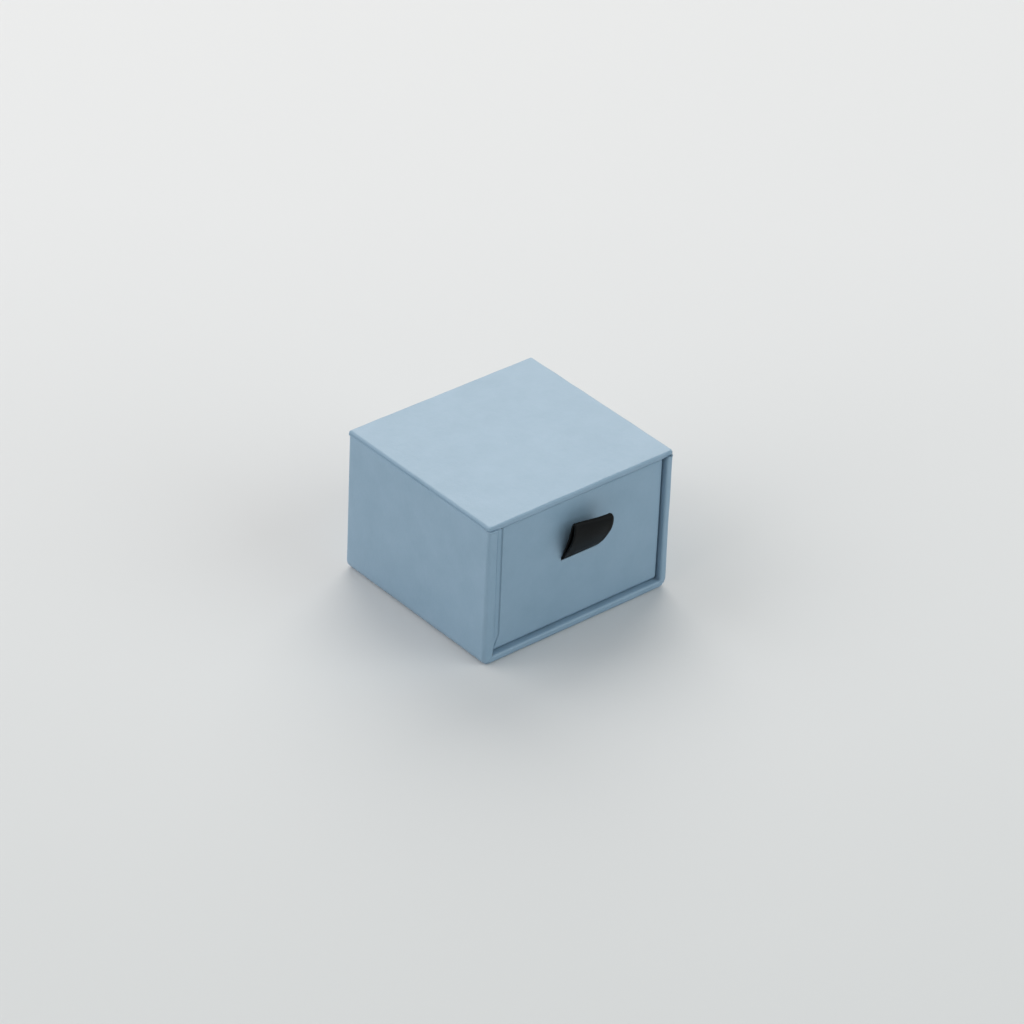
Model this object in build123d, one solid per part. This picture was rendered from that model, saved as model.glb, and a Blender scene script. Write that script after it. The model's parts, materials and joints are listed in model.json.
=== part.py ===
from build123d import *
from math import cos, radians, sin
import os

# Ring box with a drawer: a paper-covered board sleeve, open at the front, and a
# drawer with a ribbon pull and a velvet ring pad. Millimetres, +Z up. The origin
# is the middle of the sleeve's underside, and the drawer opens towards -Y.

# Sleeve, outside
box_width = 50.0
box_depth = 46.5
box_height = 34.0

# Sheet materials; a paper's thickness includes its glue
sleeve_board = 1.4
top_board = 0.8
flap_board = 0.8
drawer_board = 1.2
card = 0.5
cover_paper = 0.2
lining_paper = 0.2
stay_tape = 0.1
velvet = 0.6
ribbon = 0.4

# Folds and rounded edges, measured on the outside of the paper
bottom_fold_radius = 2.0
back_fold_radius = 1.2
lip_radius = 0.8
lip_inner_radius = 0.5
top_edge_radius = 0.5
top_lower_edge_radius = 0.25
inner_corner_radius = 0.5
drawer_bottom_radius = 1.0
drawer_side_radius = 0.6
drawer_rim_radius = 0.5

# How far the top board stops short of the tray's left wall and of its mouth
top_left_inset = 0.4
top_front_inset = 0.25

# How far cover paper is turned in over an edge
mouth_turn_in = 10.0
wall_top_turn_in = 4.0
top_board_turn_in = 9.0
drawer_turn_in = 8.0
stay_leg = 7.0
stay_end_gap = 1.0

# Room for the drawer to run, and how far its front stands back from the mouth
side_gap = 0.3
over_gap = 0.6
under_gap = 0.25
back_gap = 0.15
front_recess = 1.0

# Cover paper on the drawer's front: the flap is cut narrower than the board
flap_inset = 1.7
flap_step = 0.1
flap_taper = 3.3

# Ribbon pull
ribbon_width = 9.5
slot_width = 10.0
slot_height = 1.0
pull_offset = 0.3
pull_height = 18.1
hinge_standoff = 0.45
tail_length = 10.0
patch_margin = 2.5

# Side outline of the ribbon loop: how far out from its root, and how far up
loop_root_lean = 62.0
loop_front_bow = (3.35, 4.7)
loop_front_top = (4.5, 10.0)
loop_fold = (3.9, 10.6)
loop_back_top = (3.3, 10.1)
loop_back_bow = (2.0, 6.0)

# Ring pad
pad_height = 17.0
pad_gap = 0.15
pad_side_drop = 1.6
pad_slit_drop = 0.8
pad_end_radius = 1.8
slit_width = 0.5
pad_turn_under = 5.0

# An edge lies on a plane when it is this near; a cut runs this far past what it cuts
tolerance = 0.0001
past = 1.0

# Planes of the sleeve
wall = cover_paper + sleeve_board + lining_paper
left_wall = wall + flap_board
sleeve_left = -box_width / 2
sleeve_right = box_width / 2
sleeve_front = -box_depth / 2
sleeve_back = box_depth / 2
tray_top = box_height - top_board - 2 * cover_paper
space_left = sleeve_left + left_wall
space_right = sleeve_right - wall
space_back = sleeve_back - wall

# Planes of the drawer
drawer_left = space_left + side_gap
drawer_right = space_right - side_gap
drawer_front = sleeve_front + front_recess
drawer_back = space_back - back_gap
drawer_base = wall + under_gap
drawer_top = tray_top - over_gap
drawer_wall = cover_paper + drawer_board + lining_paper
room_left = drawer_left + drawer_wall
room_right = drawer_right - drawer_wall
room_front = drawer_front + drawer_wall
room_back = drawer_back - drawer_wall
room_floor = drawer_base + drawer_wall
card_top = room_floor + velvet + card
pad_middle = (room_front + room_back) / 2
pull_x = (drawer_left + drawer_right) / 2 + pull_offset


def block(low, high):
    """A box from its lowest and highest corners."""
    size = [high[i] - low[i] for i in range(3)]
    return Pos(*low) * Box(*size, align=(Align.MIN, Align.MIN, Align.MIN))


def edges_at(solid, **planes):
    """The edges of a solid whose middle lies on every given plane."""
    def on_planes(edge):
        middle = edge @ 0.5
        return all(abs(getattr(middle, axis) - value) < tolerance for axis, value in planes.items())
    return solid.edges().filter_by(on_planes)


def tray_block(inset, top):
    """The outside of the sleeve's tray, drawn in by inset, with its folds rounded."""
    left, right = sleeve_left + inset, sleeve_right - inset
    front, back = sleeve_front + inset, sleeve_back - inset
    solid = block((left, front, inset), (right, back, top))
    side_folds = edges_at(solid, X=left, Z=inset) + edges_at(solid, X=right, Z=inset)
    solid = fillet(side_folds, bottom_fold_radius - inset)
    back_edges = solid.edges().filter_by(
        lambda e: abs((e @ 0.5).Y - back) < tolerance and (e @ 0.5).Z < top - tolerance
    )
    return fillet(back_edges, back_fold_radius - inset)


def drawer_space():
    """The room inside the sleeve's tray, open at the front and the top."""
    low = (space_left, sleeve_front - past, wall)
    high = (space_right, space_back, box_height + past)
    solid = block(low, high)
    corners = edges_at(solid, X=space_left, Z=wall) + edges_at(solid, X=space_right, Z=wall)
    return fillet(corners, inner_corner_radius)


def board_space():
    """The room inside the sleeve's boards, before the lining goes in."""
    low = (space_left - lining_paper, sleeve_front - past, wall - lining_paper)
    high = (space_right + lining_paper, space_back + lining_paper, box_height + past)
    return block(low, high)


def mouth_edges(solid, front, top):
    """The long edges round the tray's mouth: the outer ones, then the inner ones."""
    def at_mouth(edge):
        in_front_plane = all(abs((edge @ t).Y - front) < tolerance for t in (0, 0.5, 1))
        return in_front_plane and (edge @ 0.5).Z < top - tolerance

    def inside(edge):
        middle = edge @ 0.5
        across = space_left - inner_corner_radius < middle.X < space_right + inner_corner_radius
        return across and middle.Z > wall - inner_corner_radius

    edges = solid.edges().filter_by(at_mouth)
    return edges.filter_by(lambda e: not inside(e)), edges.filter_by(inside)


def sleeve_walls():
    """Paper, board and lining of the tray together, with rounded lips at the mouth."""
    solid = tray_block(0, tray_top) - drawer_space()
    outer, inner = mouth_edges(solid, sleeve_front, tray_top)
    solid = fillet(inner, lip_inner_radius)
    outer, inner = mouth_edges(solid, sleeve_front, tray_top)
    return fillet(outer, lip_radius)


def sleeve_board_set():
    """All boards of the tray as one shape, to be cut into its pieces."""
    top = tray_top - cover_paper
    solid = tray_block(cover_paper, top) - board_space()
    outer, inner = mouth_edges(solid, sleeve_front + cover_paper, top)
    return fillet(outer, lip_radius - cover_paper)


def sleeve_boards(stays):
    """The folded wall board, the glue flap inside its left wall, and the back board."""
    boards = sleeve_board_set() - stays
    far = box_width
    flap_left = space_left - lining_paper - flap_board
    flap_back = sleeve_back - cover_paper - sleeve_board
    flap_room = block((flap_left, -far, wall - lining_paper), (space_left - lining_paper, flap_back, far))
    back_room = block((flap_left, flap_back, wall - lining_paper), (space_right + lining_paper, far, far))
    return {
        "sleeve_wall_board": boards - flap_room - back_room,
        "sleeve_glue_flap": boards & flap_room,
        "sleeve_back_board": boards & back_room,
    }


def sleeve_stays():
    """Gummed tape round the two back corners, under the paper and pressed into the boards."""
    outer = tray_block(cover_paper, tray_top - cover_paper)
    tape = outer - tray_block(cover_paper + stay_tape, tray_top)
    inner_x = box_width / 2 - stay_leg
    reach_y = sleeve_back - stay_leg
    low_end = bottom_fold_radius + stay_end_gap
    high_end = tray_top - cover_paper - stay_end_gap
    back_room = block((-box_width, reach_y, low_end), (box_width, box_depth, high_end))
    middle = block((-inner_x, 0, 0), (inner_x, box_depth, box_height))
    return Compound(children=((tape & back_room) - middle).solids())


def sleeve_papers():
    """The tray's cover paper, turned in at the mouth and the wall tops, and its lining."""
    lining_room = block(
        (sleeve_left, sleeve_front + mouth_turn_in, 0),
        (sleeve_right, sleeve_back, tray_top - wall_top_turn_in),
    )
    lining = (board_space() - drawer_space()) & lining_room
    wrap = sleeve_walls() - sleeve_board_set() - lining
    return {"sleeve_wrap": wrap, "sleeve_lining": lining}


def sleeve_top():
    """The top board with its own cover paper and the lining panel under it."""
    left, right = sleeve_left + top_left_inset, sleeve_right
    front, back = sleeve_front + top_front_inset, sleeve_back
    outside = block((left, front, tray_top), (right, back, box_height))
    outside = fillet(outside.edges().group_by(Axis.Z)[-1], top_edge_radius)
    outside = fillet(outside.edges().group_by(Axis.Z)[0], top_lower_edge_radius)
    inset = cover_paper
    board = block(
        (left + inset, front + inset, tray_top + inset),
        (right - inset, back - inset, box_height - inset),
    )
    board = fillet(board.edges().group_by(Axis.Z)[-1], top_edge_radius - inset)
    turn_in = top_board_turn_in
    panel = block(
        (left + turn_in, front + turn_in, tray_top),
        (right - turn_in, back - turn_in, tray_top + lining_paper),
    )
    return {
        "sleeve_top_board": board,
        "sleeve_top_wrap": outside - board - panel,
        "sleeve_top_lining": panel,
    }


def drawer_block(inset, top):
    """The outside of the drawer, drawn in by inset, with its folds rounded."""
    low = (drawer_left + inset, drawer_front + inset, drawer_base + inset)
    high = (drawer_right - inset, drawer_back - inset, top)
    solid = block(low, high)
    solid = fillet(solid.edges().filter_by(Axis.Z), drawer_side_radius - inset)
    return fillet(solid.edges().group_by(Axis.Z)[0], drawer_bottom_radius - inset)


def drawer_room(outset):
    """The room inside the drawer, grown by outset into its walls and floor."""
    low = (room_left - outset, room_front - outset, room_floor - outset)
    high = (room_right + outset, room_back + outset, box_height)
    return block(low, high)


def pull_slot():
    """The slot in the drawer's front that the ribbon passes through."""
    low = (pull_x - slot_width / 2, sleeve_front, pull_height - slot_height / 2)
    high = (pull_x + slot_width / 2, room_front + past, pull_height + slot_height / 2)
    return block(low, high)


def flap_edge_cut():
    """The strip beside the front flap, where the paper is one layer thinner."""
    left = drawer_left - past
    edge = drawer_left + flap_inset
    low = drawer_base + drawer_bottom_radius / 2
    outline = Polyline(
        (left, low),
        (drawer_left, low),
        (edge, low + flap_taper),
        (edge, drawer_top + past),
        (left, drawer_top + past),
        close=True,
    )
    plane = Plane(origin=(0, drawer_front + flap_step, 0), x_dir=(1, 0, 0), z_dir=(0, -1, 0))
    return extrude(plane * make_face(outline), past)


def drawer_boards(stays):
    """The drawer's five boards: front and back full width, the others between them."""
    boards = drawer_block(cover_paper, drawer_top - cover_paper) - drawer_room(lining_paper) - stays
    far = box_width
    inner_left = room_left - lining_paper
    inner_right = room_right + lining_paper
    inner_front = room_front - lining_paper
    inner_back = room_back + lining_paper
    rooms = {
        "drawer_front_board": ((-far, -far, 0), (far, inner_front, far)),
        "drawer_back_board": ((-far, inner_back, 0), (far, far, far)),
        "drawer_left_board": ((-far, inner_front, 0), (inner_left, inner_back, far)),
        "drawer_right_board": ((inner_right, inner_front, 0), (far, inner_back, far)),
        "drawer_bottom_board": ((inner_left, inner_front, 0), (inner_right, inner_back, room_floor)),
    }
    pieces = {name: boards & block(*corners) for name, corners in rooms.items()}
    pieces["drawer_front_board"] -= pull_slot()
    return pieces


def drawer_stays():
    """Gummed tape round the drawer's four corners, under the paper and pressed into the boards."""
    outer = drawer_block(cover_paper, drawer_top - cover_paper)
    tape = outer - drawer_block(cover_paper + stay_tape, drawer_top)
    low_end = drawer_base + drawer_bottom_radius + stay_end_gap
    high_end = drawer_top - cover_paper - stay_end_gap
    tape = tape & block((-box_width, -box_width, low_end), (box_width, box_width, high_end))
    across = block((drawer_left + stay_leg, -box_width, 0), (drawer_right - stay_leg, box_width, box_height))
    along = block((-box_width, drawer_front + stay_leg, 0), (box_width, drawer_back - stay_leg, box_height))
    return Compound(children=(tape - across - along).solids())


def drawer_papers():
    """The drawer's cover paper, turned in over the rim, and its two linings."""
    rim_low = drawer_top - drawer_turn_in
    lining_shell = drawer_room(lining_paper) - drawer_room(0)
    floor_room = block((-box_width, -box_width, 0), (box_width, box_width, room_floor))
    wall_room = block((-box_width, -box_width, room_floor), (box_width, box_width, rim_low))
    floor_lining = lining_shell & floor_room
    wall_lining = (lining_shell & wall_room) - pull_slot()
    solid = drawer_block(0, drawer_top) - drawer_room(0)
    solid = fillet(solid.edges().group_by(Axis.Z)[-1], drawer_rim_radius)
    wrap = solid - floor_lining - (lining_shell & wall_room)
    wrap -= drawer_block(cover_paper, drawer_top - cover_paper) - drawer_room(lining_paper)
    wrap = wrap - pull_slot() - flap_edge_cut()
    return {
        "drawer_wrap": wrap,
        "drawer_wall_lining": wall_lining,
        "drawer_floor_lining": floor_lining,
    }


def pull_loop():
    """The ribbon loop: two layers that leave the slot together, bow apart and fold at the top."""
    def point(place):
        out, up = place
        return (drawer_front - hinge_standoff - out, pull_height + up)

    def on_root(turn):
        angle = radians(loop_root_lean + turn)
        return point((ribbon * cos(angle), ribbon * sin(angle)))

    front_root, root_end, back_root = on_root(-90), on_root(180), on_root(90)
    front_top, back_top = point(loop_front_top), point(loop_back_top)
    outline = [
        ThreePointArc(front_root, point(loop_front_bow), front_top),
        ThreePointArc(front_top, point(loop_fold), back_top),
        ThreePointArc(back_top, point(loop_back_bow), back_root),
        ThreePointArc(back_root, root_end, front_root),
    ]
    outside = make_face(outline)
    section = outside - offset(outside, -ribbon)
    plane = Plane(origin=(pull_x - ribbon_width / 2, 0, 0), x_dir=(0, 1, 0), z_dir=(1, 0, 0))
    return extrude(plane * section, ribbon_width)


def pull_tails():
    """The ribbon's two ends, through the slot and glued down behind the drawer's front."""
    left, right = pull_x - ribbon_width / 2, pull_x + ribbon_width / 2
    low, high = pull_height - ribbon, pull_height + ribbon
    through = block((left, drawer_front, low), (right, room_front, high))
    down = block((left, room_front, low - tail_length), (right, room_front + 2 * ribbon, high))
    bend = edges_at(down, Y=room_front + 2 * ribbon, Z=high)
    return through + fillet(bend, ribbon)


def patch_block(outset, margin):
    """The raised shape over the ribbon's ends, with its flat border."""
    left, right = pull_x - ribbon_width / 2, pull_x + ribbon_width / 2
    low, high = pull_height - ribbon - tail_length, pull_height + ribbon
    hump = block(
        (left - outset, room_front, low - outset),
        (right + outset, room_front + 2 * ribbon + outset, high + outset),
    )
    border = block(
        (left - margin, room_front, low - margin),
        (right + margin, room_front + outset, high + margin),
    )
    return hump + border


def pad_block(inset):
    """The ring pad drawn in by inset: two crowned rolls on one base, with the ring's slit between."""
    left, right = room_left + pad_gap + inset, room_right - pad_gap - inset
    front, back = room_front + pad_gap + inset, room_back - pad_gap - inset
    base = room_floor + inset
    top = room_floor + pad_height - inset
    quarter = (back - front) / 4
    side = top - pad_side_drop
    dip = top - pad_slit_drop
    outline = [
        Line((front, base), (front, side)),
        ThreePointArc((front, side), (pad_middle - quarter, top), (pad_middle, dip)),
        ThreePointArc((pad_middle, dip), (pad_middle + quarter, top), (back, side)),
        Line((back, side), (back, base)),
        Line((back, base), (front, base)),
    ]
    plane = Plane(origin=(left, 0, 0), x_dir=(0, 1, 0), z_dir=(1, 0, 0))
    solid = extrude(plane * make_face(outline), right - left)

    def at_upper_end(edge):
        middle = edge @ 0.5
        at_end = min(abs(middle.X - left), abs(middle.X - right)) < tolerance
        return at_end and middle.Z > side

    solid = fillet(solid.edges().filter_by(at_upper_end), pad_end_radius - inset)
    slit_half = slit_width / 2 + inset
    slit_low = card_top + velvet - inset
    slit = block((left, pad_middle - slit_half, slit_low), (right, pad_middle + slit_half, box_height))
    return solid - slit - patch_block(lining_paper + pad_gap + inset, patch_margin)


def ring_pad():
    """Base card, two foam rolls, and the velvet that covers them and is tucked in between."""
    outside = pad_block(0)
    inside = pad_block(velvet)
    card_room = block((-box_width, -box_width, 0), (box_width, box_width, card_top))
    front_room = block((-box_width, -box_width, card_top), (box_width, pad_middle, box_height))
    back_room = block((-box_width, pad_middle, card_top), (box_width, box_width, box_height))
    under = block(
        (room_left + pad_turn_under, room_front + pad_turn_under, room_floor - past),
        (room_right - pad_turn_under, room_back - pad_turn_under, room_floor + velvet),
    )
    return {
        "pad_base_card": inside & card_room,
        "pad_front_roll": inside & front_room,
        "pad_back_roll": inside & back_room,
        "pad_cover": outside - inside - under,
    }


def build_pieces():
    """Every piece of the box by name."""
    sleeve_tape = sleeve_stays()
    pieces = sleeve_boards(sleeve_tape)
    pieces["sleeve_corner_stays"] = sleeve_tape
    pieces |= sleeve_papers()
    pieces |= sleeve_top()
    drawer_tape = drawer_stays()
    pieces |= drawer_boards(drawer_tape)
    pieces["drawer_corner_stays"] = drawer_tape
    pieces |= drawer_papers()
    tails = pull_tails()
    pieces["pull_tails"] = tails
    pieces["tail_patch"] = patch_block(lining_paper, patch_margin) - tails - pull_slot()
    pieces |= ring_pad()
    pieces["pull_loop"] = pull_loop()
    return pieces


os.makedirs("parts", exist_ok=True)
for node, shape in build_pieces().items():
    export_step(shape, f"parts/{node}.step")
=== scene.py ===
import json
import math

import bmesh
import bpy
import numpy as np
from mathutils import Matrix, Vector, noise


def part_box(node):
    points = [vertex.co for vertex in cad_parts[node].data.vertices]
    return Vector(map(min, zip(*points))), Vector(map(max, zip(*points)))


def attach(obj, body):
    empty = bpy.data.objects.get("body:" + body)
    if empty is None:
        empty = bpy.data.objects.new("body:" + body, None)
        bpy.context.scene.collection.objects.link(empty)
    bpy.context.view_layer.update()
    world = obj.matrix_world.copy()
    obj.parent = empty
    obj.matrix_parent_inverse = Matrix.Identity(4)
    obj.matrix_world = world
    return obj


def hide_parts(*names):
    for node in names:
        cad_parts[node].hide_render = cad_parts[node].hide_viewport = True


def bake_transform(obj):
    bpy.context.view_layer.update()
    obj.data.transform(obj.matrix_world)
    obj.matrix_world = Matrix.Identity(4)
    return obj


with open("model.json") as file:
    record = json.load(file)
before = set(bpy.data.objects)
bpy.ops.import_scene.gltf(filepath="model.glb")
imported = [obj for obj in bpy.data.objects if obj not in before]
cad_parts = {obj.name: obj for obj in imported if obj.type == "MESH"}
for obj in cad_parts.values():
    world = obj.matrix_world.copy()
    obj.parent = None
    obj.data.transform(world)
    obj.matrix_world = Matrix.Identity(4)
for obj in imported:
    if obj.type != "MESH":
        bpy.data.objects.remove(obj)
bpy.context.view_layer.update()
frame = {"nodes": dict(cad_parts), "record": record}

MM = 0.001

# Photograph's camera, fitted to the sleeve's edges (degrees, millimetres)
CAMERA_AZIMUTH = -41.0
CAMERA_ELEVATION = 33.4
CAMERA_ROLL = 2.4
CAMERA_DISTANCE = 941.0
CAMERA_AIM = (-0.84, 0.68)
CAMERA_LENS = 157.5
SENSOR = 36.0

# Thickness of the finished papers, a little under the solid ones (millimetres)
SHELL = 0.17

# Sheet thicknesses and rounded edges, as in the solid model (millimetres)
PAPER = 0.2
BOTTOM_FOLD = 2.0
BACK_FOLD = 1.2
LIP = 0.8
LIP_INNER = 0.5
INNER_CORNER = 0.5
TOP_EDGE = 0.5
TOP_LOWER_EDGE = 0.25
DRAWER_BOTTOM = 1.0
DRAWER_SIDE = 0.6
DRAWER_RIM = 0.5
MOUTH_TURN_IN = 10.0
TOP_TURN_IN = 9.0
DRAWER_TURN_IN = 8.0
FLAP_INSET = 1.7
FLAP_STEP = 0.1
FLAP_TAPER = 3.3
SLOT_WIDTH = 10.0
SLOT_HEIGHT = 1.0
SLOT_TO_TAIL_TOP = 0.4

# Soft pieces as they are finished here (millimetres)
RIBBON = 0.34
PAD_SLIT = 0.5
PAD_ROUND = 1.8

# How the hand-made box leaves its plain form (millimetres). A lean is given at the wall's
# top and at its foot, and is above zero where the wall stands out.
LEFT_LEAN = (-0.12, 0.2)
RIGHT_LEAN = (-0.12, 0.08)
LEFT_BEAD = 0.4
WALL_TOP_ROUND = 0.35
TOP_CORNER = 0.3
FLAP_FOOT = 0.25
FLAP_REACH = 5.0

# The groove beside the flap's cut edge: its depth at distances to the right of the edge
GROOVE_OFFSETS = (-1.0, -0.36, -0.28, -0.03, 0.03, 0.2, 0.5)
GROOVE_DEPTHS = (0.0, FLAP_STEP * 0.6, FLAP_STEP * 1.5, FLAP_STEP * 1.5, -0.09, -0.06, 0.0)

# The table's half width, and the distance over which painted shade darkens it towards the viewer (metres)
FLOOR_REACH = 4.0
FLOOR_SHADE_FADE = 0.3

# Tints of the lamps
WARM = (1.0, 0.96, 0.91)
COOL = (0.90, 0.98, 1.0)


def corners_mm(node):
    """Lowest and highest corner of a solid, in millimetres."""
    low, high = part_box(node)
    return np.array(low) / MM, np.array(high) / MM


TRAY_LOW, TRAY_HIGH = corners_mm("sleeve_wrap")
TOP_LOW, TOP_HIGH = corners_mm("sleeve_top_wrap")
DRAWER_LOW, DRAWER_HIGH = corners_mm("drawer_wrap")
LINING_LOW, LINING_HIGH = corners_mm("sleeve_lining")
ROOM_LOW, ROOM_HIGH = corners_mm("drawer_wall_lining")
PAD_LOW, PAD_HIGH = corners_mm("pad_cover")
TAIL_LOW, TAIL_HIGH = corners_mm("pull_tails")
LOOP_LOW, LOOP_HIGH = corners_mm("pull_loop")

SPACE_LEFT = LINING_LOW[0] + PAPER
SPACE_RIGHT = LINING_HIGH[0] - PAPER
LEFT_WALL = SPACE_LEFT - TRAY_LOW[0]
RIGHT_WALL = TRAY_HIGH[0] - SPACE_RIGHT
DRAWER_WALL = ROOM_LOW[0] + PAPER - DRAWER_LOW[0]
PULL_X = (LOOP_LOW[0] + LOOP_HIGH[0]) / 2
PULL_Z = TAIL_HIGH[2] - SLOT_TO_TAIL_TOP
FRONT_Y = DRAWER_LOW[1]


# ---------------------------------------------------------------- mesh helpers

def new_object(name, points, faces):
    """An object from points in millimetres, already in its place."""
    mesh = bpy.data.meshes.new(name)
    mesh.from_pydata([tuple(p * MM) for p in points], [], faces)
    mesh.update()
    made = bpy.data.objects.new(name, mesh)
    bpy.context.scene.collection.objects.link(made)
    return made


def grid_object(name, grid, loop=False, keep=None):
    """An object from a grid of points [row, column]; loop joins the last row to the first."""
    rows, columns = grid.shape[:2]
    last = rows if loop else rows - 1
    faces = []
    for i in range(last):
        for j in range(columns - 1):
            if keep is None or keep(i, j):
                k = (i + 1) % rows
                faces.append((i * columns + j, i * columns + j + 1, k * columns + j + 1, k * columns + j))
    return new_object(name, grid.reshape(-1, 3), faces)


def clean(made, merge=0.001):
    """Joins points that coincide, drops loose ones and turns the faces outwards."""
    bm = bmesh.new()
    bm.from_mesh(made.data)
    bmesh.ops.remove_doubles(bm, verts=bm.verts, dist=merge * MM)
    loose = [v for v in bm.verts if not v.link_faces]
    bmesh.ops.delete(bm, geom=loose, context="VERTS")
    bmesh.ops.recalc_face_normals(bm, faces=bm.faces)
    bm.to_mesh(made.data)
    bm.free()
    for polygon in made.data.polygons:
        polygon.use_smooth = True


def thicken(made, thickness, outward):
    """Gives a sheet its thickness on its inner side; outward is a point of its outer side's air."""
    mesh = made.data
    nearest = min(mesh.polygons, key=lambda p: (p.center - outward).length)
    if nearest.normal.dot(outward - nearest.center) < 0:
        mesh.flip_normals()
    solidify = made.modifiers.new("thickness", "SOLIDIFY")
    solidify.thickness = thickness * MM
    solidify.offset = -1


def spaced(start, stop, step):
    """Evenly spaced values from start to stop, about step apart, without the last one."""
    count = max(1, round(abs(stop - start) / step))
    return list(np.linspace(start, stop, count, endpoint=False))


def wobble(point, size, seed=0.0):
    """Smooth noise from -1 to 1 at a point in millimetres; size is the width of its bumps."""
    return noise.noise(Vector(point) / size + Vector((seed, seed * 1.7, seed * 2.3)))


class Profile:
    """A line across a sheet's edge: depth into the wall, height along the opening, and its outward normal."""

    def __init__(self):
        self.points = []

    def add(self, depth, height, normal):
        self.points.append((depth, height, normal[0], normal[1]))

    def line(self, start, end, normal, step):
        """Points about step apart, without the end."""
        count = max(1, round(math.dist(start, end) / step))
        for k in range(count):
            t = k / count
            self.add(start[0] + t * (end[0] - start[0]), start[1] + t * (end[1] - start[1]), normal)

    def arc(self, centre, radius, first, last, steps):
        """Points round a centre from one angle to another in degrees, without the last."""
        for k in range(steps):
            angle = math.radians(first + (last - first) * k / steps)
            normal = (math.cos(angle), math.sin(angle))
            self.add(centre[0] + radius * normal[0], centre[1] + radius * normal[1], normal)


def rounded(distance, radius):
    """How far a rounded edge has dropped at a distance from its end."""
    if distance >= radius:
        return 0.0
    return radius - math.sqrt(radius**2 - (radius - distance) ** 2)


def limited(value):
    """A value kept between 0 and 1."""
    return min(1.0, max(0.0, value))


def step_between(value, edge, width):
    """0 well below the edge and 1 well above it, with a steep rise of that width."""
    return limited((value - edge) / width + 0.5)


# ---------------------------------------------------------------- paper pieces

def tray_rows():
    """Places round the tray's section: (part, share along it, wall thickness, drop at the wall's top).

    A ledge lies on a wall's top, and its share is its distance from the wall's outer face in millimetres.
    """
    ledges = (1.6, 1.0, 0.6, 0.45, 0.3)
    near_top = [0.0, 0.04, 0.1, 0.18, 0.28, 0.4]
    near_floor = 28.0
    wall_foot = 0.97
    fold_steps = 14
    span = TRAY_HIGH[2] - BOTTOM_FOLD
    heights = near_top + spaced(0.7, near_floor, 1.0) + [near_floor]
    wall = [(z / span, rounded(z, WALL_TOP_ROUND)) for z in heights] + [(wall_foot, 0.0)]
    fold = [k / fold_steps for k in range(fold_steps + 1)]
    rows = [("left_ledge", distance, LEFT_WALL, 0.0) for distance in ledges]
    rows += [("left", share, LEFT_WALL, drop) for share, drop in wall]
    rows += [("left_fold", share, LEFT_WALL + share * (RIGHT_WALL - LEFT_WALL), 0.0) for share in fold]
    rows += [("floor", share, RIGHT_WALL, 0.0) for share in spaced(0.02, 1.0, 0.021)]
    rows += [("right_fold", share, RIGHT_WALL, 0.0) for share in fold]
    rows += [("right", share, RIGHT_WALL, drop) for share, drop in reversed(wall)]
    rows += [("right_ledge", distance, RIGHT_WALL, 0.0) for distance in reversed(ledges)]
    return rows


def left_bead(depth, y):
    """Height of the raised fold along the left wall's top: lower at the mouth, and gone inside the wall."""
    from_mouth = limited((y - TRAY_LOW[1]) / 4.0)
    return LEFT_BEAD * (0.35 + 0.65 * from_mouth) * limited(2.0 - depth / 1.5)


def tray_place(row, depth, y):
    """The point of the tray's section at a depth inside its outline."""
    part, share, thickness, _ = row
    least_radius = 0.3
    radius = max(BOTTOM_FOLD - depth * (BOTTOM_FOLD - INNER_CORNER) / thickness, least_radius)
    radius = min(radius, max(0.0, TRAY_HIGH[0] - depth))
    left, right, floor = TRAY_LOW[0] + depth, TRAY_HIGH[0] - depth, TRAY_LOW[2] + depth
    top = TRAY_HIGH[2]
    fold_top = floor + radius
    bead = left_bead(depth, y)
    if part == "left_ledge":
        return np.array([max(left, TRAY_LOW[0] + share), y, top + bead * limited((0.6 - share) / 0.3)])
    if part == "right_ledge":
        return np.array([min(right, TRAY_HIGH[0] - share), y, top])
    if part == "left":
        return np.array([left, y, top + bead * limited(1.0 - share * 2.5) - share * (top - fold_top)])
    if part == "right":
        return np.array([right, y, top - share * (top - fold_top)])
    if part == "floor":
        return np.array([left + radius + share * (right - left - 2 * radius), y, floor])
    turn = share * math.pi / 2
    if part == "left_fold":
        return np.array([left + radius - radius * math.cos(turn), y, fold_top - radius * math.sin(turn)])
    return np.array([right - radius + radius * math.sin(turn), y, fold_top - radius * math.cos(turn)])


def tray_profile(thickness):
    """From the turned-in edge inside, over the lip, along the wall, round to the back's middle."""
    front, back = TRAY_LOW[1], TRAY_HIGH[1]
    lip_flat = thickness - LIP_INNER - LIP
    seam = 0.04
    seam_start, seam_end = FLAP_INSET - seam / 2, FLAP_INSET + seam / 2
    centre = TRAY_HIGH[0]
    profile = Profile()
    profile.line((thickness, front + MOUTH_TURN_IN), (thickness, front + LIP_INNER), (1, 0), 0.9)
    profile.arc((thickness - LIP_INNER, front + LIP_INNER), LIP_INNER, 0, -90, 8)
    profile.line((thickness - LIP_INNER, front), (LIP, front), (0, -1), lip_flat / 4)
    profile.arc((LIP, front + LIP), LIP, -90, -180, 12)
    profile.line((0, front + LIP), (0, back - BACK_FOLD), (-1, 0), 1.0)
    profile.arc((BACK_FOLD, back - BACK_FOLD), BACK_FOLD, 180, 90, 12)
    profile.line((BACK_FOLD, back), (seam_start, back), (0, 1), 0.2)
    profile.line((seam_start, back), (seam_end, back), (0, 1), seam)
    profile.line((seam_end, back), (centre, back), (0, 1), 1.0)
    profile.add(centre, back, (0, 1))
    return profile.points


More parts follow.
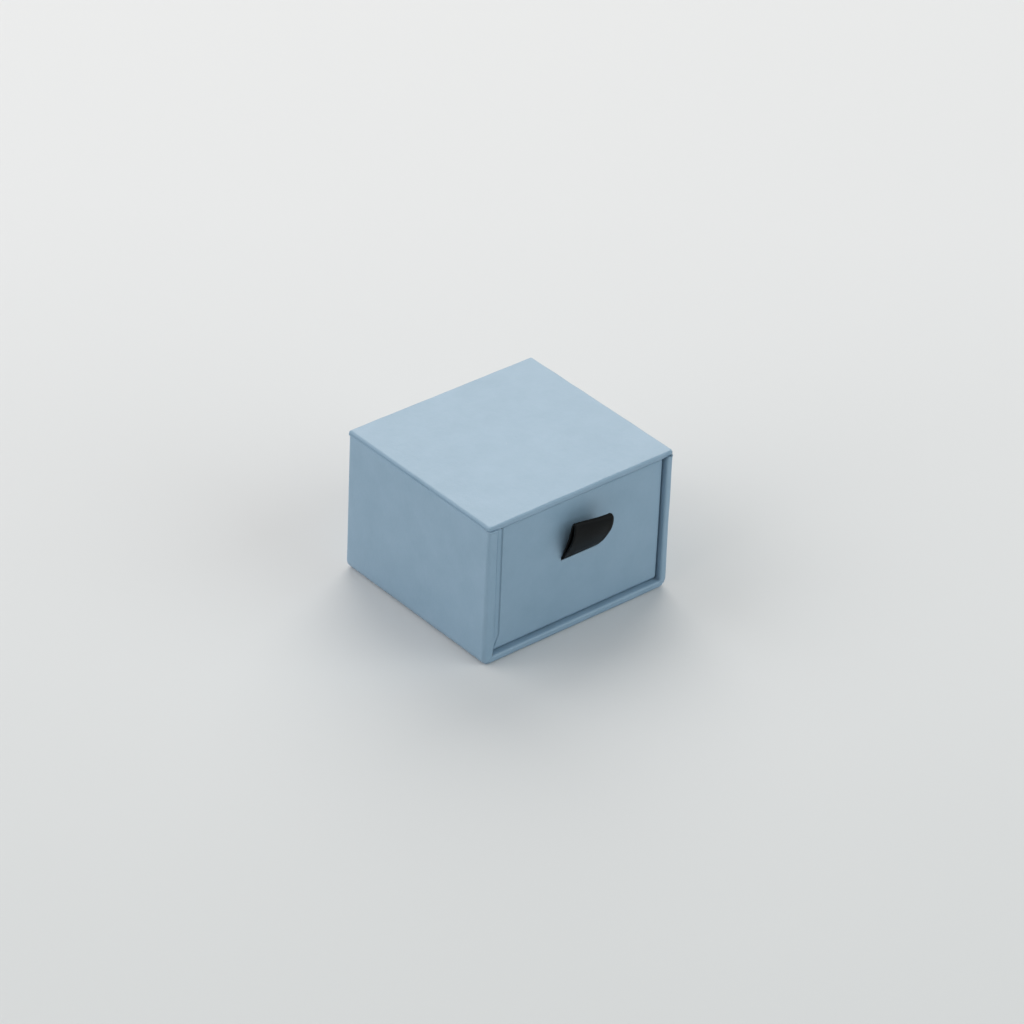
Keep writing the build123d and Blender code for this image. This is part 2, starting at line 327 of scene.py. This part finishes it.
def tray_relief(row, depth, y, point):
    """How far the tray's paper stands off its plain form: ears, hand-made unevenness, pleats at the folds."""
    part, share, _, drop = row
    if part.endswith("ledge"):
        return 0.0
    front, back = TRAY_LOW[1], TRAY_HIGH[1]
    lip_reach = 2.5
    pleats = 7
    deepest = 0.1
    relief = 0.035 * wobble(point, 14.0, 1.0) + 0.012 * wobble(point, 4.0, 2.0)
    side = {"left": 1.0, "right": 1.0, "left_fold": 1.0 - share, "right_fold": share}.get(part, 0.0)
    at_back = step_between(y, back - BACK_FOLD / 2, BACK_FOLD)
    if depth < FLAP_INSET:
        relief -= FLAP_STEP * side * at_back
    near_lip = max(0.0, 1.0 - (y - front) / lip_reach)
    if part in ("left_fold", "right_fold"):
        relief += 0.05 * near_lip * math.sin(share * math.pi) * math.sin(share * math.pi * pleats)
    relief += 0.06 * near_lip * wobble(point, 6.0, 3.0)
    return max(relief, -deepest) - drop


def wall_lean(row):
    """How far a side wall stands out of its plane at one place of the section."""
    part, share = row[:2]
    top, foot = LEFT_LEAN if part.startswith("left") else RIGHT_LEAN
    if part in ("left", "right"):
        return top + share * (foot - top)
    return {"left_fold": 1.0 - share, "right_fold": share}.get(part, 0.0) * foot


def tray_cover():
    """Cover paper of the sleeve's tray."""
    lines = []
    for row in tray_rows():
        line = []
        for depth, y, normal_depth, normal_y in tray_profile(row[2]):
            point = tray_place(row, depth, y)
            relief = tray_relief(row, depth, y, point)
            lean = wall_lean(row) * max(0.0, 1.0 - depth / BACK_FOLD)
            point = tray_place(row, depth + relief * normal_depth - lean, y + relief * normal_y)
            point[2] = max(point[2], TRAY_LOW[2])
            line.append(point)
        lines.append(line)
    made = grid_object("tray_cover", np.array(lines))
    clean(made)
    thicken(made, SHELL, Vector((0, 0, -1)))
    return made


def loop_rows(steps, corner_steps):
    """Places round a rectangle, counter-clockwise from its front left corner: (side, kind, share)."""
    rows = []
    for side in range(4):
        rows += [(side, "corner", k / corner_steps) for k in range(corner_steps)]
        rows += [(side, "edge", share) for share in steps[side]]
    return rows


def loop_place(row, low, high, depth, radius):
    """A point of a rounded rectangle in plan, drawn in by depth. Side 0 is the front."""
    side, kind, share = row
    x0, y0, x1, y1 = low[0] + depth, low[1] + depth, high[0] - depth, high[1] - depth
    r = min(radius, (x1 - x0) / 2, (y1 - y0) / 2)
    starts = [(x0, y0), (x1, y0), (x1, y1), (x0, y1)]
    along = [(1, 0), (0, 1), (-1, 0), (0, -1)][side]
    inward = [(0, 1), (-1, 0), (0, -1), (1, 0)][side]
    length = (x1 - x0) if side % 2 == 0 else (y1 - y0)
    sx, sy = starts[side]
    if kind == "edge":
        t = r + share * (length - 2 * r)
        return np.array([sx + along[0] * t, sy + along[1] * t])
    turn = share * math.pi / 2
    a, b = r - r * math.sin(turn), r - r * math.cos(turn)
    return np.array([sx + along[0] * b + inward[0] * a, sy + along[1] * b + inward[1] * a])


def top_cover():
    """Cover paper of the top board, folded under at its edges."""
    low, high = TOP_LOW, TOP_HIGH
    middle = (high[1] - low[1]) / 2
    near_edge = 2.0
    profile = Profile()
    profile.line((middle, high[2]), (near_edge, high[2]), (0, 1), 1.0)
    profile.line((near_edge, high[2]), (TOP_EDGE, high[2]), (0, 1), 0.3)
    profile.arc((TOP_EDGE, high[2] - TOP_EDGE), TOP_EDGE, 90, 180, 10)
    profile.line((0, high[2] - TOP_EDGE), (0, low[2] + TOP_LOWER_EDGE), (-1, 0), 0.12)
    profile.arc((TOP_LOWER_EDGE, low[2] + TOP_LOWER_EDGE), TOP_LOWER_EDGE, 180, 270, 6)
    profile.line((TOP_LOWER_EDGE, low[2]), (TOP_TURN_IN, low[2]), (0, -1), 1.2)
    profile.add(TOP_TURN_IN, low[2], (0, -1))
    fine_ends = [0.0, 0.004, 0.008, 0.013, 0.018, 0.024, 0.031, 0.04, 0.052, 0.066]
    steps = fine_ends + spaced(0.085, 0.915, 0.02) + [1 - s for s in reversed(fine_ends[1:])]
    lines = []
    for row in loop_rows([steps] * 4, 4):
        line = []
        for depth, z, normal_depth, normal_z in profile.points:
            plan = loop_place(row, low, high, depth, TOP_CORNER)
            point = np.array([plan[0], plan[1], z])
            relief = 0.03 * wobble(point, 16.0, 4.0) + top_rim_relief(point, normal_depth)
            plan = loop_place(row, low, high, depth + relief * normal_depth, TOP_CORNER)
            line.append(np.array([plan[0], plan[1], z + relief * normal_z]))
        lines.append(line)
    made = grid_object("top_cover", np.array(lines), loop=True)
    clean(made)
    thicken(made, SHELL, Vector((0, 0, 1)))
    return made


def top_rim_relief(point, normal_depth):
    """Unevenness of the rim, and the edges of the paper tucked in at the corners."""
    rim = 0.6
    back_fold, left_crease, right_crease = 2.2, 2.4, 2.9
    facing = abs(normal_depth)
    relief = 0.08 * facing * wobble(point, 5.0, 5.0)
    below = TOP_HIGH[2] - point[2]
    from_left = point[0] - TOP_LOW[0]
    from_right = TOP_HIGH[0] - point[0]
    if point[1] > TOP_HIGH[1] - rim and min(from_left, from_right) < back_fold:
        return relief - 0.05 * step_between(below, 0.7, 0.15) * facing
    if point[1] >= TOP_LOW[1] + rim:
        return relief
    if from_left < left_crease:
        crease = sum(math.exp(-(((below - line) / 0.1) ** 2)) for line in (0.42, 0.95))
        relief -= 0.13 * crease * facing
    if from_right < right_crease:
        relief -= 0.12 * step_between(below, 0.47 * from_right - 0.4, 0.12) * facing
    return relief


def drawer_front_steps():
    """Shares along the drawer's front, with lines at the flap's edge and at the slot's ends."""
    width = DRAWER_HIGH[0] - DRAWER_LOW[0] - 2 * DRAWER_SIDE
    edge = FLAP_INSET - DRAWER_SIDE
    pull = PULL_X - DRAWER_LOW[0] - DRAWER_SIDE
    slot = [pull - SLOT_WIDTH / 2, pull + SLOT_WIDTH / 2]
    near = [edge + offset for offset in (-0.6, *GROOVE_OFFSETS[1:])]
    marks = [0.0, *near, FLAP_REACH - DRAWER_SIDE, *slot, width]
    steps = []
    for a, b in zip(marks, marks[1:]):
        steps += spaced(a, b, 0.9)
    return [s / width for s in steps]


def drawer_cover():
    """Cover paper of the drawer, turned in over the rim, with the flap's cut edge on the front."""
    low, high = DRAWER_LOW, DRAWER_HIGH
    wall = DRAWER_WALL
    slot_low, slot_high = PULL_Z - SLOT_HEIGHT / 2, PULL_Z + SLOT_HEIGHT / 2
    profile = Profile()
    profile.line((wall, high[2] - DRAWER_TURN_IN), (wall, high[2] - DRAWER_RIM), (1, 0), 1.0)
    profile.arc((wall - DRAWER_RIM, high[2] - DRAWER_RIM), DRAWER_RIM, 0, 90, 8)
    profile.line((wall - DRAWER_RIM, high[2]), (DRAWER_RIM, high[2]), (0, 1), 0.2)
    profile.arc((DRAWER_RIM, high[2] - DRAWER_RIM), DRAWER_RIM, 90, 180, 8)
    profile.line((0, high[2] - DRAWER_RIM), (0, slot_high), (-1, 0), 0.8)
    slot_row = len(profile.points)
    profile.line((0, slot_high), (0, slot_low), (-1, 0), SLOT_HEIGHT)
    profile.line((0, slot_low), (0, low[2] + DRAWER_BOTTOM), (-1, 0), 0.5)
    profile.arc((DRAWER_BOTTOM, low[2] + DRAWER_BOTTOM), DRAWER_BOTTOM, 180, 270, 10)
    middle = (high[1] - low[1]) / 2
    profile.line((DRAWER_BOTTOM, low[2]), (middle, low[2]), (0, -1), 1.2)
    profile.add(middle, low[2], (0, -1))
    plain = spaced(0.0, 1.0, 0.025)
    least_radius = 0.12
    rows = loop_rows([drawer_front_steps(), plain, plain, plain], 8)
    lines = []
    for row in rows:
        line = []
        for depth, z, normal_depth, normal_z in profile.points:
            radius = max(DRAWER_SIDE - depth, least_radius)
            plan = loop_place(row, low, high, depth, radius)
            point = flap_shift(np.array([plan[0], plan[1], z]))
            relief = drawer_relief(point, row, normal_depth)
            plan = loop_place(row, low, high, depth + relief * normal_depth, radius)
            x = point[0] if is_front(row) else plan[0]
            line.append(np.array([x, plan[1], z + relief * normal_z]))
        lines.append(line)

    def outside_slot(i, j):
        """Whether a face of the grid is kept; the slot's faces are left open."""
        k = (i + 1) % len(rows)
        if j != slot_row or not is_front(rows[i]) or rows[k][1] != "edge":
            return True
        x = (lines[i][j][0] + lines[k][j][0]) / 2
        return abs(x - PULL_X) > SLOT_WIDTH / 2

    made = grid_object("drawer_cover", np.array(lines), loop=True, keep=outside_slot)
    clean(made)
    thicken(made, SHELL, Vector((0, 0, -1)))
    return made


def is_front(row):
    """Whether a place round the drawer lies on the front's straight part."""
    return row[:2] == (0, "edge")


def flap_edge(z):
    """The flap's cut edge, from the drawer's left side; it runs out to the corner at the bottom."""
    taper_low = DRAWER_LOW[2] + DRAWER_BOTTOM / 2
    share = limited((z - taper_low) / FLAP_TAPER)
    return FLAP_FOOT + (FLAP_INSET - FLAP_FOOT) * share


def flap_shift(point):
    """Moves a point of the front sideways so that the grid's lines follow the flap's edge."""
    x = point[0] - DRAWER_LOW[0]
    if point[1] > FRONT_Y + 0.5 or not DRAWER_SIDE <= x <= FLAP_REACH:
        return point
    edge = max(flap_edge(point[2]), DRAWER_SIDE + 0.05)
    straight = [DRAWER_SIDE, FLAP_INSET, FLAP_REACH]
    shifted = [DRAWER_SIDE, edge, FLAP_REACH]
    point[0] = DRAWER_LOW[0] + np.interp(x, straight, shifted)
    return point


def flap_groove(point):
    """Depth of the paper beside the flap's cut edge; below zero it stands proud."""
    from_edge = point[0] - DRAWER_LOW[0] - flap_edge(point[2])
    return np.interp(from_edge, GROOVE_OFFSETS, GROOVE_DEPTHS)


def drawer_relief(point, row, normal_depth):
    """How far the drawer's paper stands off its plain form."""
    relief = 0.03 * wobble(point, 13.0, 6.0)
    facing_out = normal_depth < -0.3
    if is_front(row) and facing_out and point[1] < FRONT_Y + DRAWER_SIDE:
        relief -= flap_groove(point)
    return relief


# ---------------------------------------------------------------- ribbon

def smooth_line(points, steps):
    """A smooth curve through points; steps is the count of samples on each stretch between two."""
    points = np.array(points, float)
    ends = np.vstack([2 * points[0] - points[1], points, 2 * points[-1] - points[-2]])
    line = []
    for k, count in enumerate(steps, 1):
        a, b, c, d = ends[k - 1:k + 3]
        for t in np.linspace(0, 1, count, endpoint=False):
            line.append(0.5 * (2 * b + (c - a) * t + (2 * a - 5 * b + 4 * c - d) * t**2
                               + (3 * b - a - 3 * c + d) * t**3))
    line.append(points[-1])
    return np.array(line)


def ribbon_path(side):
    """The ribbon's middle line at its left or right edge: (out from the drawer's front, up from the slot).

    It runs up one tail behind the front, out through the slot, round the loop and back down the other tail.
    """
    behind = FRONT_Y - TAIL_HIGH[1] + 0.25
    before = behind + 0.42
    low = TAIL_LOW[2] - PULL_Z
    half = 0.2
    first = [(behind, low), (behind, -3.0), (behind, -0.9), (behind + 0.25, -half - 0.05), (-1.2, -half)]
    last = [(-1.2, half), (before + 0.23, half + 0.05), (before, -0.9), (before, -3.0), (before, low)]
    if side == "left":
        loop = [(-0.1, -half), (0.6, 0.85), (1.45, 2.4), (2.65, 4.75), (3.3, 6.9), (3.5, 8.6), (3.42, 9.55),
                (3.05, 9.98), (2.75, 9.45), (2.5, 8.45), (1.92, 5.95), (1.26, 3.85), (0.4, 1.3), (-0.1, half)]
    else:
        loop = [(-0.1, -half), (1.35, 1.2), (2.3, 2.5), (3.9, 5.25), (4.62, 7.1), (4.82, 8.6), (4.6, 9.3),
                (3.98, 9.5), (3.6, 9.0), (3.3, 7.9), (2.5, 5.5), (1.55, 3.5), (0.5, 1.4), (-0.1, half)]
    return first + loop + last


def ribbon_thickness(edge):
    """Thickness across the ribbon, edge running from 0 in its middle to 1: a woven edge, rounded off."""
    thickness = RIBBON * (0.86 + 0.24 * step_between(edge, 0.9, 0.08))
    return thickness * 0.55 if edge > 0.99 else thickness


def ribbon_grid():
    """The ribbon's surface: each row goes along its upper side and back along its lower side."""
    left = np.array(ribbon_path("left"))
    right = np.array(ribbon_path("right"))
    stretches = np.linalg.norm(np.diff((left + right) / 2, axis=0), axis=1)
    steps = [max(2, round(stretch / 0.22)) for stretch in stretches]
    left, right = smooth_line(left, steps), smooth_line(right, steps)
    width = LOOP_HIGH[0] - LOOP_LOW[0]
    loop_height = 10.0
    bow_depth, bow_waves, bow_start = 0.1, 2.1, 0.6
    narrowing = 0.01
    across = np.linspace(-0.5, 0.5, 29)
    paths = [left + (s + 0.5) * (right - left) for s in across]
    rows = []
    for k in range(len(left)):
        upper, lower = [], []
        for s, path in zip(across, paths):
            half = ribbon_thickness(abs(s) * 2) / 2
            tangent = path[min(k + 1, len(path) - 1)] - path[max(k - 1, 0)]
            n_out, n_up = np.array([-tangent[1], tangent[0]]) / np.linalg.norm(tangent)
            out, up = path[k]
            rise = limited(up / loop_height)
            bow = bow_depth * rise * math.sin(s * math.pi * bow_waves + bow_start)
            x = PULL_X + s * width * (1 - narrowing * rise)
            y, z = FRONT_Y - out - bow, PULL_Z + up
            upper.append((x, y - n_out * half, z + n_up * half))
            lower.append((x, y + n_out * half, z - n_up * half))
        rows.append(upper + lower[::-1])
    return np.array(rows)


def ribbon_pull():
    """The ribbon: both ends glued behind the drawer's front, out through the slot and back in a loop."""
    grid = ribbon_grid()
    rows, columns = grid.shape[:2]
    faces = []
    for i in range(rows - 1):
        for j in range(columns):
            k = (j + 1) % columns
            faces.append((i * columns + j, i * columns + k, (i + 1) * columns + k, (i + 1) * columns + j))
    faces.append(tuple(range(columns)))
    faces.append(tuple((rows - 1) * columns + j for j in reversed(range(columns))))
    made = new_object("ribbon_pull", grid.reshape(-1, 3), faces)
    clean(made)
    return made


# ---------------------------------------------------------------- ring pad

def pad_section():
    """Outline of the pad from front to back, (y, z): two crowned rolls with the slit between them."""
    front, base, top = PAD_LOW[1], PAD_LOW[2], PAD_HIGH[2]
    middle = (PAD_LOW[1] + PAD_HIGH[1]) / 2
    slit = middle - PAD_SLIT / 2
    outer_wall = [(front, base), (front + 0.02, base + 4), (front, base + 9), (front + 0.03, top - 2.9)]
    shoulder = [(front + 0.4, top - 1.75), (front + 1.5, top - 0.9), (front + 4.5, top - 0.2)]
    crown = [(middle - 10.0, top), (middle - 5.0, top - 0.15), (middle - 2.4, top - 0.45)]
    slit_lip = [(middle - 0.95, top - 0.72), (middle - 0.45, top - 0.98), (slit, top - 1.6)]
    slit_wall = [(slit, top - 3.2), (slit, top - 8.0), (slit, base + 1.7)]
    half = outer_wall + shoulder + crown + slit_lip + slit_wall
    steps = [max(3, round(math.dist(a, b) / 0.7)) for a, b in zip(half, half[1:])]
    line = smooth_line(half, steps)
    mirrored = np.array([(2 * middle - y, z) for y, z in line[::-1]])
    return np.vstack([line, mirrored])


def pad_stations():
    """Places along the pad's width: (x, how far its rounded end has drawn the section in)."""
    left, right = PAD_LOW[0], PAD_HIGH[0]
    turns = np.linspace(0, math.pi / 2, 9)
    end = [(left + PAD_ROUND * (1 - math.cos(t)), PAD_ROUND * (1 - math.sin(t))) for t in turns]
    plain = [(x, 0.0) for x in spaced(left + PAD_ROUND + 0.7, right - PAD_ROUND, 0.8)]
    other_end = [(right - (x - left), inset) for x, inset in reversed(end)]
    return end + plain + other_end


def close_rim(made):
    """Closes a sheet's open rim with triangles."""
    bm = bmesh.new()
    bm.from_mesh(made.data)
    rims = [edge for edge in bm.edges if edge.is_boundary]
    bmesh.ops.holes_fill(bm, edges=rims, sides=0)
    bmesh.ops.triangulate(bm, faces=[f for f in bm.faces if len(f.verts) > 4])
    bm.to_mesh(made.data)
    bm.free()


def ring_pad():
    """Velvet ring pad: two crowned rolls with the cloth tucked in between them."""
    low, high = PAD_LOW, PAD_HIGH
    middle = (low[1] + high[1]) / 2
    half_depth = 20
    smooth_foot = 2
    section = pad_section()
    lines = []
    for x, inset in pad_stations():
        line = []
        for y, z in section:
            lowered = min(z, high[2] - inset * 0.75 - 0.25 * inset * abs(y - middle) / half_depth)
            side = np.clip(y, low[1] + inset * 0.5, high[1] - inset * 0.5)
            point = (x, side, lowered)
            relief = 0.08 * wobble(point, 5.0, 7.0) + 0.05 * wobble(point, 1.8, 8.0)
            if z > low[2] + smooth_foot:
                lowered += relief * 0.8
            line.append((x, side, lowered))
        lines.append(line)
    made = grid_object("pad_velvet", np.array(lines))
    close_rim(made)
    clean(made)
    return made


# ---------------------------------------------------------------- materials

class Nodes:
    """A material's node tree with short calls."""

    def __init__(self, name):
        self.material = bpy.data.materials.new(name)
        self.material.use_nodes = True
        self.tree = self.material.node_tree
        self.shader = self.tree.nodes["Principled BSDF"]
        self.place = self.tree.nodes.new("ShaderNodeTexCoord").outputs["Object"]

    def feed(self, socket, value):
        """Links a socket to another node's output, or gives it a plain value."""
        if isinstance(value, bpy.types.NodeSocket):
            self.tree.links.new(value, socket)
        else:
            socket.default_value = value

    def node(self, kind, **inputs):
        """A new node with its inputs fed."""
        made = self.tree.nodes.new(kind)
        for key, value in inputs.items():
            self.feed(made.inputs[key.replace("_", " ")], value)
        return made

    def noise(self, size_mm, detail=3.0, roughness=0.5, stretch=(1, 1, 1)):
        """Noise with blobs about size_mm wide."""
        scaled = self.node("ShaderNodeMapping", Vector=self.place)
        scaled.inputs["Scale"].default_value = [s / (size_mm * MM) for s in stretch]
        made = self.node("ShaderNodeTexNoise", Vector=scaled.outputs["Vector"])
        made.inputs["Scale"].default_value = 1.0
        made.inputs["Detail"].default_value = detail
        made.inputs["Roughness"].default_value = roughness
        return made.outputs["Fac"]

    def ramp(self, value, low, high, start, end):
        """A colour that runs from start at the low value to end at the high one."""
        made = self.node("ShaderNodeValToRGB", Fac=value)
        stops = made.color_ramp.elements
        stops[0].position = low
        stops[0].color = (*start, 1)
        stops[1].position = high
        stops[1].color = (*end, 1)
        return made.outputs["Color"]

    def math(self, operation, *values):
        """The result of a sum on two or three values."""
        made = self.tree.nodes.new("ShaderNodeMath")
        made.operation = operation
        for socket, value in zip(made.inputs, values):
            self.feed(socket, value)
        return made.outputs["Value"]

    def bump(self, height, depth_mm, below=None):
        """Surface relief of that depth, laid over another one."""
        made = self.node("ShaderNodeBump", Height=height, Distance=depth_mm * MM, Strength=1.0)
        if below is not None:
            self.feed(made.inputs["Normal"], below)
        return made.outputs["Normal"]

    def finish(self, colour, normal, roughness, **constants):
        """Feeds the shader and returns the material."""
        self.feed(self.shader.inputs["Base Color"], colour)
        self.feed(self.shader.inputs["Roughness"], roughness)
        if normal is not None:
            self.feed(self.shader.inputs["Normal"], normal)
        for key, value in constants.items():
            self.shader.inputs[key.replace("_", " ")].default_value = value
        return self.material


def cover_paper_material():
    """Pale blue cover paper: fine felt texture, faint mottling, soft satin sheen."""
    n = Nodes("cover_paper")
    mottle = n.noise(6.0, 4.0, 0.6)
    colour = n.ramp(mottle, 0.3, 0.7, (0.237, 0.362, 0.472), (0.263, 0.39, 0.505))
    grain = n.noise(0.22, 3.0, 0.6)
    felt = n.noise(0.55, 3.0, 0.6)
    broad = n.noise(1.6, 2.0, 0.5)
    normal = n.bump(broad, 0.045, n.bump(felt, 0.03, n.bump(grain, 0.014)))
    rough = n.math("MULTIPLY_ADD", grain, 0.12, 0.36)
    return n.finish(colour, normal, rough, Specular_IOR_Level=0.5)


def greyboard_material():
    """Grey recycled board, speckled and rough."""
    n = Nodes("greyboard")
    speck = n.noise(0.35, 5.0, 0.7)
    colour = n.ramp(speck, 0.3, 0.75, (0.14, 0.13, 0.115), (0.27, 0.255, 0.23))
    return n.finish(colour, n.bump(n.noise(0.3, 4.0, 0.65, (1, 1, 3)), 0.03), 0.92)


def lining_paper_material():
    """Off-white lining paper, smooth and matt."""
    n = Nodes("lining_paper")
    colour = n.ramp(n.noise(4.0, 4.0, 0.6), 0.3, 0.7, (0.66, 0.67, 0.66), (0.71, 0.72, 0.71))
    return n.finish(colour, n.bump(n.noise(0.25, 3.0, 0.6), 0.008), 0.7)


def stay_tape_material():
    """Brown gummed paper tape with upright fibres."""
    n = Nodes("stay_tape")
    fibres = n.noise(0.5, 5.0, 0.65, (1, 1, 0.15))
    colour = n.ramp(fibres, 0.3, 0.7, (0.30, 0.19, 0.10), (0.40, 0.27, 0.15))
    return n.finish(colour, n.bump(n.noise(0.2, 3.0, 0.6), 0.01), 0.6)


def base_card_material():
    """Buff card."""
    n = Nodes("base_card")
    colour = n.ramp(n.noise(0.8, 5.0, 0.65), 0.3, 0.7, (0.56, 0.53, 0.46), (0.64, 0.61, 0.54))
    return n.finish(colour, n.bump(n.noise(0.3, 3.0, 0.6), 0.015), 0.8)


def foam_material():
    """Pale foam with fine open cells."""
    n = Nodes("foam")
    cells = n.node("ShaderNodeTexVoronoi", Vector=n.place, Scale=1600.0)
    colour = n.ramp(cells.outputs["Distance"], 0.0, 0.8, (0.52, 0.52, 0.50), (0.68, 0.68, 0.66))
    return n.finish(colour, n.bump(cells.outputs["Distance"], 0.12), 0.95)


def ribbon_material():
    """Black ribbon with fine crosswise ribs."""
    n = Nodes("ribbon")
    ribs = n.noise(0.16, 2.0, 0.5, (0.06, 1, 1))
    threads = n.noise(0.12, 2.0, 0.5, (1, 0.25, 0.25))
    colour = n.ramp(ribs, 0.3, 0.7, (0.003, 0.0038, 0.0042), (0.005, 0.006, 0.0065))
    normal = n.bump(threads, 0.02, n.bump(ribs, 0.03))
    return n.finish(colour, normal, 0.5, Specular_IOR_Level=0.1)


def velvet_material():
    """Black velvet: short pile, broad nap marks and a soft sheen."""
    n = Nodes("velvet")
    pile = n.noise(0.12, 3.0, 0.7)
    nap = n.noise(3.5, 3.0, 0.55)
    colour = n.ramp(nap, 0.3, 0.7, (0.006, 0.0065, 0.008), (0.016, 0.017, 0.020))
    normal = n.bump(nap, 0.15, n.bump(pile, 0.06))
    return n.finish(colour, normal, 0.95, Specular_IOR_Level=0.1, Sheen_Weight=1.0, Sheen_Roughness=0.35)


def floor_painted_shade_material():
    """Pale table with a faint random cloudy tone, and painted shade that makes it a little darker towards the
    viewer.
    """
    n = Nodes("floor")
    # Painted shade: the colour runs darker towards the viewer over the fade distance, standing in for the
    # light falling off; the cloud is a random tone.
    towards = n.node("ShaderNodeVectorMath", Vector=n.place)
    towards.operation = "DOT_PRODUCT"
    azimuth = math.radians(CAMERA_AZIMUTH)
    towards.inputs[1].default_value = (math.sin(azimuth), -math.cos(azimuth), 0)
    cloud = n.math("MULTIPLY", n.noise(60.0, 2.0, 0.4), 0.12)
    middle = n.math("ADD", cloud, 0.44)
    place = n.math("MULTIPLY_ADD", towards.outputs["Value"], 1 / FLOOR_SHADE_FADE, middle)
    colour = n.ramp(place, 0.0, 1.0, (0.71, 0.72, 0.73), (0.635, 0.65, 0.655))
    return n.finish(colour, None, 0.8, Specular_IOR_Level=0.2)


# ---------------------------------------------------------------- camera, floor, light

def photo_camera():
    """The photograph's viewpoint."""
    azimuth, elevation, roll = (math.radians(a) for a in (CAMERA_AZIMUTH, CAMERA_ELEVATION, CAMERA_ROLL))
    back = Vector((
        math.sin(azimuth) * math.cos(elevation),
        -math.cos(azimuth) * math.cos(elevation),
        math.sin(elevation),
    ))
    right = Vector((0, 0, 1)).cross(back).normalized()
    up = back.cross(right)
    tilted_right = math.cos(roll) * right + math.sin(roll) * up
    tilted_up = -math.sin(roll) * right + math.cos(roll) * up
    centre = Vector((0, 0, TOP_HIGH[2] / 2))
    place = centre + CAMERA_DISTANCE * back - CAMERA_AIM[0] * tilted_right - CAMERA_AIM[1] * tilted_up
    data = bpy.data.cameras.new("photo_camera")
    data.sensor_width = SENSOR
    data.lens = CAMERA_LENS
    data.clip_start, data.clip_end = 0.05, 20.0
    made = bpy.data.objects.new("photo_camera", data)
    turn = Matrix((tilted_right, tilted_up, back)).transposed().to_4x4()
    made.matrix_world = Matrix.Translation(place * MM) @ turn
    bpy.context.scene.collection.objects.link(made)
    bpy.context.scene.camera = made


def floor_plane():
    """The table that the box stands on."""
    corners = [(x * FLOOR_REACH, y * FLOOR_REACH, 0) for x, y in ((-1, -1), (1, -1), (1, 1), (-1, 1))]
    mesh = bpy.data.meshes.new("floor")
    mesh.from_pydata(corners, [], [(0, 1, 2, 3)])
    made = bpy.data.objects.new("floor", mesh)
    bpy.context.scene.collection.objects.link(made)
    made.data.materials.append(floor_painted_shade_material())


def area_light(name, azimuth, elevation, distance, size, power, colour=(1, 1, 1)):
    """A soft lamp that faces the box (degrees, metres, watts); azimuth 0 is its front, 90 its right."""
    a, e = math.radians(azimuth), math.radians(elevation)
    direction = Vector((math.sin(a) * math.cos(e), -math.cos(a) * math.cos(e), math.sin(e)))
    data = bpy.data.lights.new(name, "AREA")
    data.shape = "DISK"
    data.size = size
    data.energy = power
    data.color = colour
    made = bpy.data.objects.new(name, data)
    made.location = direction * distance
    made.rotation_mode = "QUATERNION"
    made.rotation_quaternion = direction.to_track_quat("Z", "Y")
    bpy.context.scene.collection.objects.link(made)


def studio_light():
    """Even white surroundings and four soft lamps, the strongest one behind the box at its right."""
    world = bpy.data.worlds.new("studio")
    bpy.context.scene.world = world
    world.use_nodes = True
    sky = world.node_tree.nodes["Background"]
    sky.inputs["Color"].default_value = (1.0, 1.0, 1.0, 1)
    sky.inputs["Strength"].default_value = 0.3
    area_light("back_softbox", 139, 36, distance=1.5, size=1.4, power=14.2, colour=WARM)
    area_light("back_left", -140, 45, distance=1.3, size=1.0, power=4.2)
    area_light("left", -100, 32, distance=1.3, size=1.2, power=5.6)
    area_light("front_right", 30, 32, distance=1.3, size=1.2, power=7.0, colour=COOL)


# ---------------------------------------------------------------- the model

def dress_frame(materials):
    """Gives every solid that stays its finish."""
    for entry in frame["record"]["subparts"]:
        piece = frame["nodes"][entry["node"]]
        piece.data.materials.clear()
        piece.data.materials.append(materials[entry["material_slot"]])


def add_piece(made, body, slot, materials, *nodes):
    """Puts a finished piece on its body in place of the solids it stands for."""
    made.data.materials.append(materials[slot])
    if body is not None:
        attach(made, body)
    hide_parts(*nodes)


def main():
    """Sets the stage, dresses the solids and puts the finished pieces in their places."""
    bpy.context.scene.view_settings.view_transform = "Standard"
    photo_camera()
    floor_plane()
    studio_light()
    materials = {
        "cover_paper": cover_paper_material(),
        "greyboard": greyboard_material(),
        "lining_paper": lining_paper_material(),
        "stay_tape": stay_tape_material(),
        "base_card": base_card_material(),
        "foam": foam_material(),
        "velvet": velvet_material(),
        "ribbon": ribbon_material(),
    }
    dress_frame(materials)
    add_piece(tray_cover(), "sleeve", "cover_paper", materials, "sleeve_wrap")
    add_piece(top_cover(), "sleeve", "cover_paper", materials, "sleeve_top_wrap")
    add_piece(drawer_cover(), "drawer", "cover_paper", materials, "drawer_wrap")
    pad = ring_pad()
    add_piece(pad, "drawer", "velvet", materials, "pad_cover")
    pull = ribbon_pull()
    add_piece(pull, None, "ribbon", materials, "pull_loop", "pull_tails")
    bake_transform(pull)


main()
